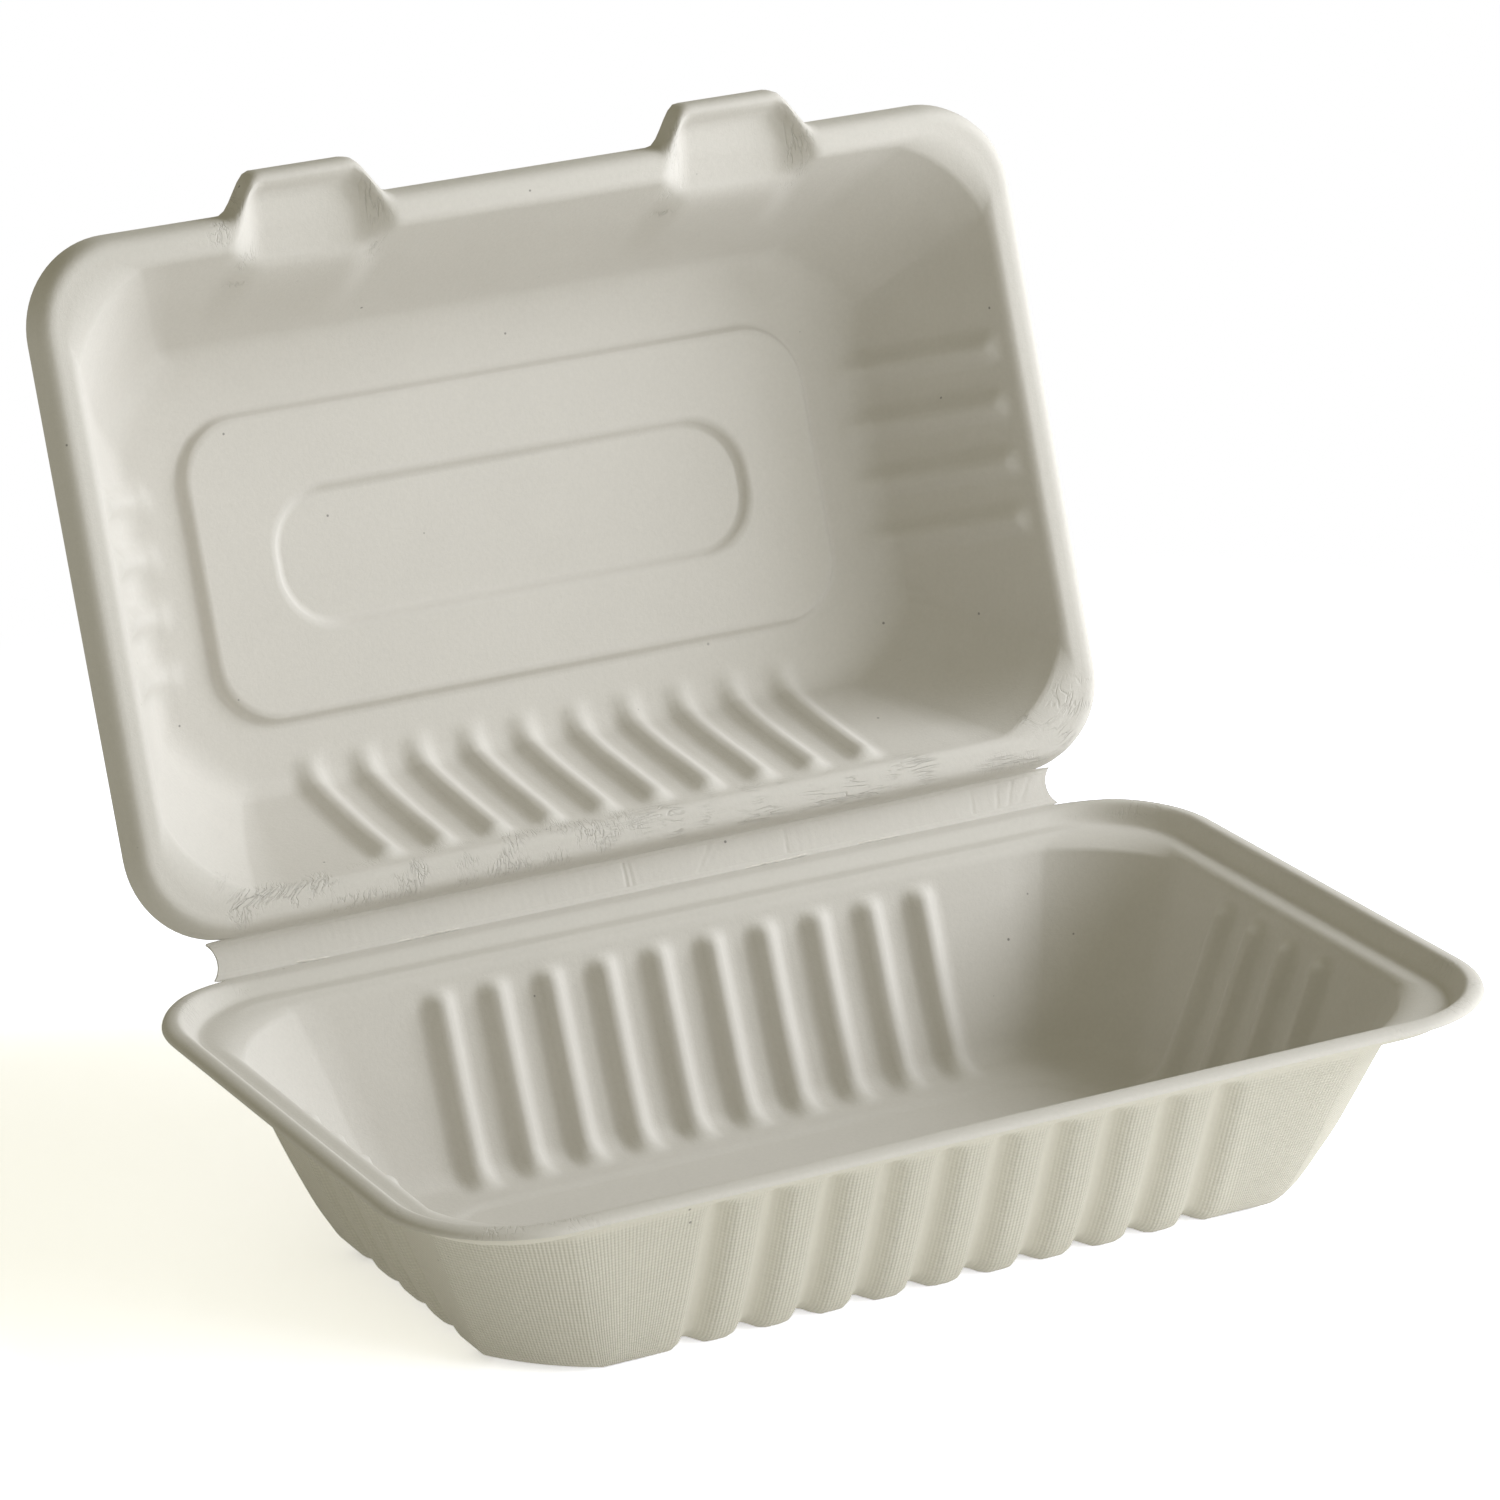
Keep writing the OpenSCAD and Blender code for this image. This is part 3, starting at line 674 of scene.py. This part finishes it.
stripValues = {"across": 16, "along": 520, "sink": 0.06, "broad": 0.10, "fine": 0.03,
               "thinner": 0.1}
crackValues = [
    {"place": -4.4, "lean": 0.05, "depth": 0.22, "width": 0.28},
    {"place": -3.1, "lean": -0.03, "depth": 0.16, "width": 0.25},
    {"place": 13.4, "lean": 0.7, "depth": 0.12, "width": 0.3},
    {"place": 15.2, "lean": 0.9, "depth": 0.1, "width": 0.3},
    {"place": 32.4, "lean": 0.06, "depth": 0.12, "width": 0.25},
    {"place": 76.0, "lean": 0.1, "depth": 0.14, "width": 0.25},
    {"place": 82.0, "lean": 0.25, "depth": 0.12, "width": 0.3},
    {"place": 85.0, "lean": 0.45, "depth": 0.14, "width": 0.3},
    {"place": 88.5, "lean": 0.7, "depth": 0.12, "width": 0.3},
]


# Sets the values of a sheet's own map in metres: along the hinge, then across it
def mapSheet(sheet, count, along, across):
    uv = sheet.data.uv_layers.active
    for loop in sheet.data.loops:
        r, i = divmod(loop.vertex_index, count + 1)
        uv.data[loop.index].uv = (along[i] * mm, across[r] * mm)


def thicken(sheet, thickness):
    bpy.ops.object.modifier_add(type="SOLIDIFY")
    solid = sheet.modifiers[-1]
    solid.thickness = thickness * mm
    solid.offset = -1
    bpy.ops.object.modifier_apply(modifier=solid.name)
    bpy.ops.object.shade_smooth_by_angle(angle=math.radians(60))


# Half length of the strip at a distance from its middle line, with the concave ends
def stripReach(v, y):
    curve = math.sqrt(max(v["endRadius"] ** 2 - y ** 2, 0)) - v["endRadius"] + v["endDepth"]
    return v["length"] / 2 - max(curve, 0)


def buildStrip(v):
    startClean()
    across = stripValues["across"]
    count = stripValues["along"]
    bpy.ops.mesh.primitive_grid_add(x_subdivisions=count, y_subdivisions=across, size=0.1)
    strip = bpy.context.object
    strip.name = "foldStrip"
    strip.data.name = "foldStrip"
    strip.data.materials.append(pulpInside)
    width = v["width"] - 2 * v["clearance"]
    flat = []
    for row in range(across + 1):
        y = width * (row / across - 0.5)
        reach = stripReach(v, y)
        for i in range(count + 1):
            x = reach * (2 * i / count - 1)
            wave = stripValues["broad"] * noise.noise(Vector((x * 0.05, y * 0.2, 3))) - stripValues["sink"]
            wave += stripValues["fine"] * noise.noise(Vector((x * 0.9, y * 0.12, 8)))
            for crack in crackValues:
                sway = 0.2 * noise.noise(Vector((y * 0.9, crack["place"], 0)))
                off = x - crack["place"] - crack["lean"] * y - sway
                wave -= crack["depth"] * math.exp(-(off / crack["width"]) ** 2)
            flat.extend(stripFrame @ Vector((x, y + v["width"] / 2, wave)) * mm)
    strip.data.vertices.foreach_set("co", flat)
    mapSheet(strip, count, [v["length"] * i / count for i in range(count + 1)],
             [width * row / across for row in range(across + 1)])
    strip.data.update()
    thicken(strip, v["thickness"] - stripValues["thinner"])
    return strip


# The sheet at each fold: how far it runs onto either face, how far it bends, which faces it joins,
# and its torn places, from and to along the hinge
foldValues = {
    "low": {"reach": (1.7, 1.4), "bend": 0.6, "stripSide": 1,
            "torn": [(-78.5, -70.5), (-56.5, -42), (21.5, 36.5), (47.5, 58)]},
    "high": {"reach": (1.2, 1.1), "bend": 0.5, "stripSide": -1, "torn": []},
    "across": 20, "along": 640, "thickness": 0.2, "sink": 0.1, "raise": 0.14, "drawnIn": 0.9,
    "broad": 0.35, "fine": 0.12, "rough": 0.04, "ridge": 0.22, "slit": 0.16, "scored": 0.04,
    "ridgeWidth": 0.13, "slitWidth": 0.16,
    "trayBack": (-0.985, 0.17), "trayBackFace": (0.17, 0.985), "lidSkirt": (0.283, 0.959),
}


# Half length of a fold's sheet: the strip's on one side, drawn in along the rim's corner on the other
def foldReach(v, distance, overStrip):
    if overStrip:
        return stripReach(v, distance - v["width"] / 2) - 0.05
    return mix(stripReach(v, v["width"] / 2) - 0.05, v["cornerStart"],
               blendSmooth(distance / foldValues["drawnIn"]))


# The sheet at one fold: it leaves one face, bends round the fold's line and runs onto the other face
def buildFold(name, fold, before, after, faces, v):
    startClean()
    f = foldValues
    across, count = f["across"], f["along"]
    reach, bend = v["reach"], v["bend"]
    bpy.ops.mesh.primitive_grid_add(x_subdivisions=count, y_subdivisions=across, size=0.1)
    sheet = bpy.context.object
    sheet.name = name
    sheet.data.name = name
    sheet.data.materials.append(pulpInside)
    length = hingeValues["length"]
    flat, ridgeHighlightSlitShade = [], []
    places = [reach[0] * (2 * row / across - 1) if row < across / 2 else reach[1] * (2 * row / across - 1)
              for row in range(across + 1)]
    for at in places:
        t = min(max((at + bend) / (2 * bend), 0), 1)
        curve = (before * bend) * (1 - t) ** 2 + (after * bend) * t ** 2
        if at < -bend:
            curve = before * -at
        if at > bend:
            curve = after * at
        normal = (faces[0] * (1 - t) + faces[1] * t).normalized()
        rim = reach[0] + at if at < 0 else reach[1] - at
        lift = f["raise"] * blendSmooth(rim / 0.5) - f["sink"]
        half = foldReach(hingeValues, abs(at), at * v["stripSide"] > 0)
        for i in range(count + 1):
            x = half * (2 * i / count - 1)
            wander = f["broad"] * noise.noise(Vector((x * 0.12, 5, 0)))
            wander += f["fine"] * noise.noise(Vector((x * 0.9, 9, 0)))
            split = 0
            for start, stop in v["torn"]:
                split = max(split, blendSmooth((x - start) / 1.2) * blendSmooth((stop - x) / 1.2))
            ridge = math.exp(-((at - wander - 0.25) / f["ridgeWidth"]) ** 2)
            slit = math.exp(-((at - wander + 0.1) / f["slitWidth"]) ** 2)
            rough = f["rough"] * noise.noise(Vector((x * 1.1, at * 2, 2)))
            relief = rough + split * (f["ridge"] * ridge - f["slit"] * slit) - f["scored"] * slit
            raised = lift + blendSmooth(rim / 0.5) * relief
            point = Vector((x, fold[0] + curve.x + normal.x * raised,
                            fold[1] + curve.y + normal.y * raised))
            flat.extend(point * mm)
            # Painted light: a highlight on the torn ridge, and painted shade in the slit beside it and
            # along the scored line
            ridgeHighlightSlitShade.append(split * (1.2 * ridge - 0.6 * slit) - 0.2 * slit)
    sheet.data.vertices.foreach_set("co", flat)
    layer = sheet.data.attributes.new("torn", "FLOAT", "POINT")
    layer.data.foreach_set("value", ridgeHighlightSlitShade)
    mapSheet(sheet, count, [length * i / count for i in range(count + 1)], places)
    sheet.data.update()
    thicken(sheet, f["thickness"])
    return sheet


def dress(piece, body, node):
    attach(piece, body)
    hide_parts(node)


trayShell = buildTray(trayValues)
dress(trayShell, "tray", "tray")
print("tray moulded")
lidShell = buildLid(lidValues)
dress(lidShell, "lid", "lid")
print("lid moulded")
foldStrip = buildStrip(hingeValues)
dress(foldStrip, "hinge_strip", "hinge_strip")

stripUp = (stripFrame.to_3x3() @ Vector((0, 1, 0))).yz
stripFace = (stripFrame.to_3x3() @ Vector((0, 0, 1))).yz
skirtAlong, skirtUp = foldValues["lidSkirt"]
lidSkirt = (lidFrame.to_3x3() @ Vector((0, skirtAlong, skirtUp))).yz
lidSkirtFace = (lidFrame.to_3x3() @ Vector((0, -skirtUp, skirtAlong))).yz
trayBack = Vector(foldValues["trayBack"])
trayBackFace = Vector(foldValues["trayBackFace"])
lowerFold = (hingeValues["foldY"], hingeValues["foldZ"])
upperFold = (lowerFold[0] + stripUp.x * hingeValues["width"],
             lowerFold[1] + stripUp.y * hingeValues["width"])


def blendFold(piece):
    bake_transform(piece)


foldLow, foldHigh = foldValues["low"], foldValues["high"]
foldSheetLow = buildFold("foldSheetLow", lowerFold, trayBack, stripUp, (trayBackFace, stripFace), foldLow)
blendFold(foldSheetLow)
foldSheetHigh = buildFold("foldSheetHigh", upperFold, -stripUp, lidSkirt, (stripFace, lidSkirtFace),
                          foldHigh)
blendFold(foldSheetHigh)
print("hinge pressed and folded")


# Floor, light and camera

stageValues = {
    "world": 0.31, "worldTint": (1.0, 0.95, 0.70, 1), "tableGlow": 0.2,
    "floorSize": 8, "floorDrop": 0.0003, "floorSeen": 3.4, "floorLit": 0.95,
    "floorTint": (0.93, 0.96, 1.13), "whiteFrom": 0.16, "whiteTo": 0.42, "lampAim": (0, 0.03, 0.06),
    "lamps": [
        {"name": "keyLamp", "place": (0.95, -0.30, 0.62), "size": 0.6, "power": 11.3,
         "tint": (0.94, 0.965, 1.03)},
        {"name": "frontLamp", "place": (0.60, -0.95, 0.25), "size": 0.6, "power": 4.3,
         "tint": (0.95, 0.97, 1.02)},
    ],
}


def buildStage(v):
    startClean()
    bpy.ops.mesh.primitive_plane_add(size=v["floorSize"], location=(0, 0, -v["floorDrop"]))
    floor = bpy.context.object
    floor.name = "studioFloor"
    material = bpy.data.materials.new("studioWhite")
    material.use_nodes = True
    tree = material.node_tree
    tree.nodes.clear()
    end = tree.nodes.new("ShaderNodeOutputMaterial")
    path = tree.nodes.new("ShaderNodeLightPath")
    seen = path.outputs["Is Camera Ray"]
    tone = addNode(tree, "ShaderNodeMapRange", {0: seen, 3: v["floorLit"], 4: v["floorSeen"]})
    tint = addNode(tree, "ShaderNodeMix", {0: seen, 4: (1, 1, 1), 5: v["floorTint"]}, data_type="VECTOR")
    tinted = addNode(tree, "ShaderNodeVectorMath", {0: tint.outputs[1], "Scale": tone.outputs[0]},
                     operation="SCALE")
    paper = addNode(tree, "ShaderNodeBsdfDiffuse", {"Color": tinted.outputs[0]})
    place = tree.nodes.new("ShaderNodeTexCoord").outputs["Object"]
    away = addNode(tree, "ShaderNodeVectorMath", {0: place}, operation="LENGTH").outputs["Value"]
    far = math2(tree, "MULTIPLY", ramp(tree, away, v["whiteFrom"], v["whiteTo"]), seen)
    glow = addNode(tree, "ShaderNodeEmission", {"Color": (1, 1, 1, 1), "Strength": 1.0})
    both = addNode(tree, "ShaderNodeMixShader", {0: far, 1: paper.outputs[0], 2: glow.outputs[0]})
    unseen = math2(tree, "SUBTRACT", 1.0, seen)
    under = addNode(tree, "ShaderNodeEmission", {
        "Color": (1, 1, 1, 1), "Strength": math2(tree, "MULTIPLY", unseen, v["tableGlow"])})
    lit = addNode(tree, "ShaderNodeAddShader", {0: both.outputs[0], 1: under.outputs[0]})
    tree.links.new(lit.outputs[0], end.inputs["Surface"])
    floor.data.materials.append(material)

    world = bpy.data.worlds.new("studio")
    bpy.context.scene.world = world
    world.use_nodes = True
    tree = world.node_tree
    tree.nodes.clear()
    end = tree.nodes.new("ShaderNodeOutputWorld")
    soft = addNode(tree, "ShaderNodeBackground", {"Color": v["worldTint"], "Strength": v["world"]})
    white = addNode(tree, "ShaderNodeBackground", {"Color": (1, 1, 1, 1), "Strength": 1.0})
    path = tree.nodes.new("ShaderNodeLightPath")
    pick = addNode(tree, "ShaderNodeMixShader", {0: path.outputs["Is Camera Ray"], 1: soft.outputs[0],
                                                 2: white.outputs[0]})
    tree.links.new(pick.outputs[0], end.inputs["Surface"])
    for lamp in v["lamps"]:
        light = bpy.data.lights.new(lamp["name"], "AREA")
        light.size = lamp["size"]
        light.energy = lamp["power"]
        light.color = lamp["tint"]
        holder = bpy.data.objects.new(lamp["name"], light)
        bpy.context.scene.collection.objects.link(holder)
        holder.location = lamp["place"]
        aim = Vector(v["lampAim"]) - Vector(lamp["place"])
        holder.rotation_euler = aim.to_track_quat("-Z", "Y").to_euler()


cameraValues = {
    "azimuth": -27.67, "elevation": 21.62, "roll": -1.87, "distance": 1.31513, "focal": 6814.78,
    "aimSide": -0.546, "aimUp": 2.152, "target": (0, 0, 0.0425), "frame": 1500, "sensor": 36,
    "nearest": 0.05, "farthest": 30,
}


def buildCamera(v):
    az, el = math.radians(v["azimuth"]), math.radians(v["elevation"])
    back = Vector((math.sin(az) * math.cos(el), -math.cos(az) * math.cos(el), math.sin(el)))
    right = (-back).cross(Vector((0, 0, 1))).normalized()
    up = right.cross(-back)
    side, lift = math.radians(v["aimSide"]), math.radians(v["aimUp"])
    ahead = (-back * math.cos(side) * math.cos(lift) + right * math.sin(side) * math.cos(lift)
             + up * math.sin(lift)).normalized()
    right = ahead.cross(Vector((0, 0, 1))).normalized()
    up = right.cross(ahead)
    roll = math.radians(v["roll"])
    across = right * math.cos(roll) + up * math.sin(roll)
    above = up * math.cos(roll) - right * math.sin(roll)
    lens = bpy.data.cameras.new("photoCamera")
    lens.sensor_width = v["sensor"]
    lens.lens = v["focal"] * v["sensor"] / v["frame"]
    lens.clip_start = v["nearest"]
    lens.clip_end = v["farthest"]
    camera = bpy.data.objects.new("photoCamera", lens)
    bpy.context.scene.collection.objects.link(camera)
    turn = Matrix((across, above, -ahead)).transposed().to_4x4()
    camera.matrix_world = Matrix.Translation(Vector(v["target"]) + back * v["distance"]) @ turn
    bpy.context.scene.camera = camera


buildStage(stageValues)
buildCamera(cameraValues)
bpy.context.scene.view_settings.view_transform = "Standard"
print("stage, lights and camera set")
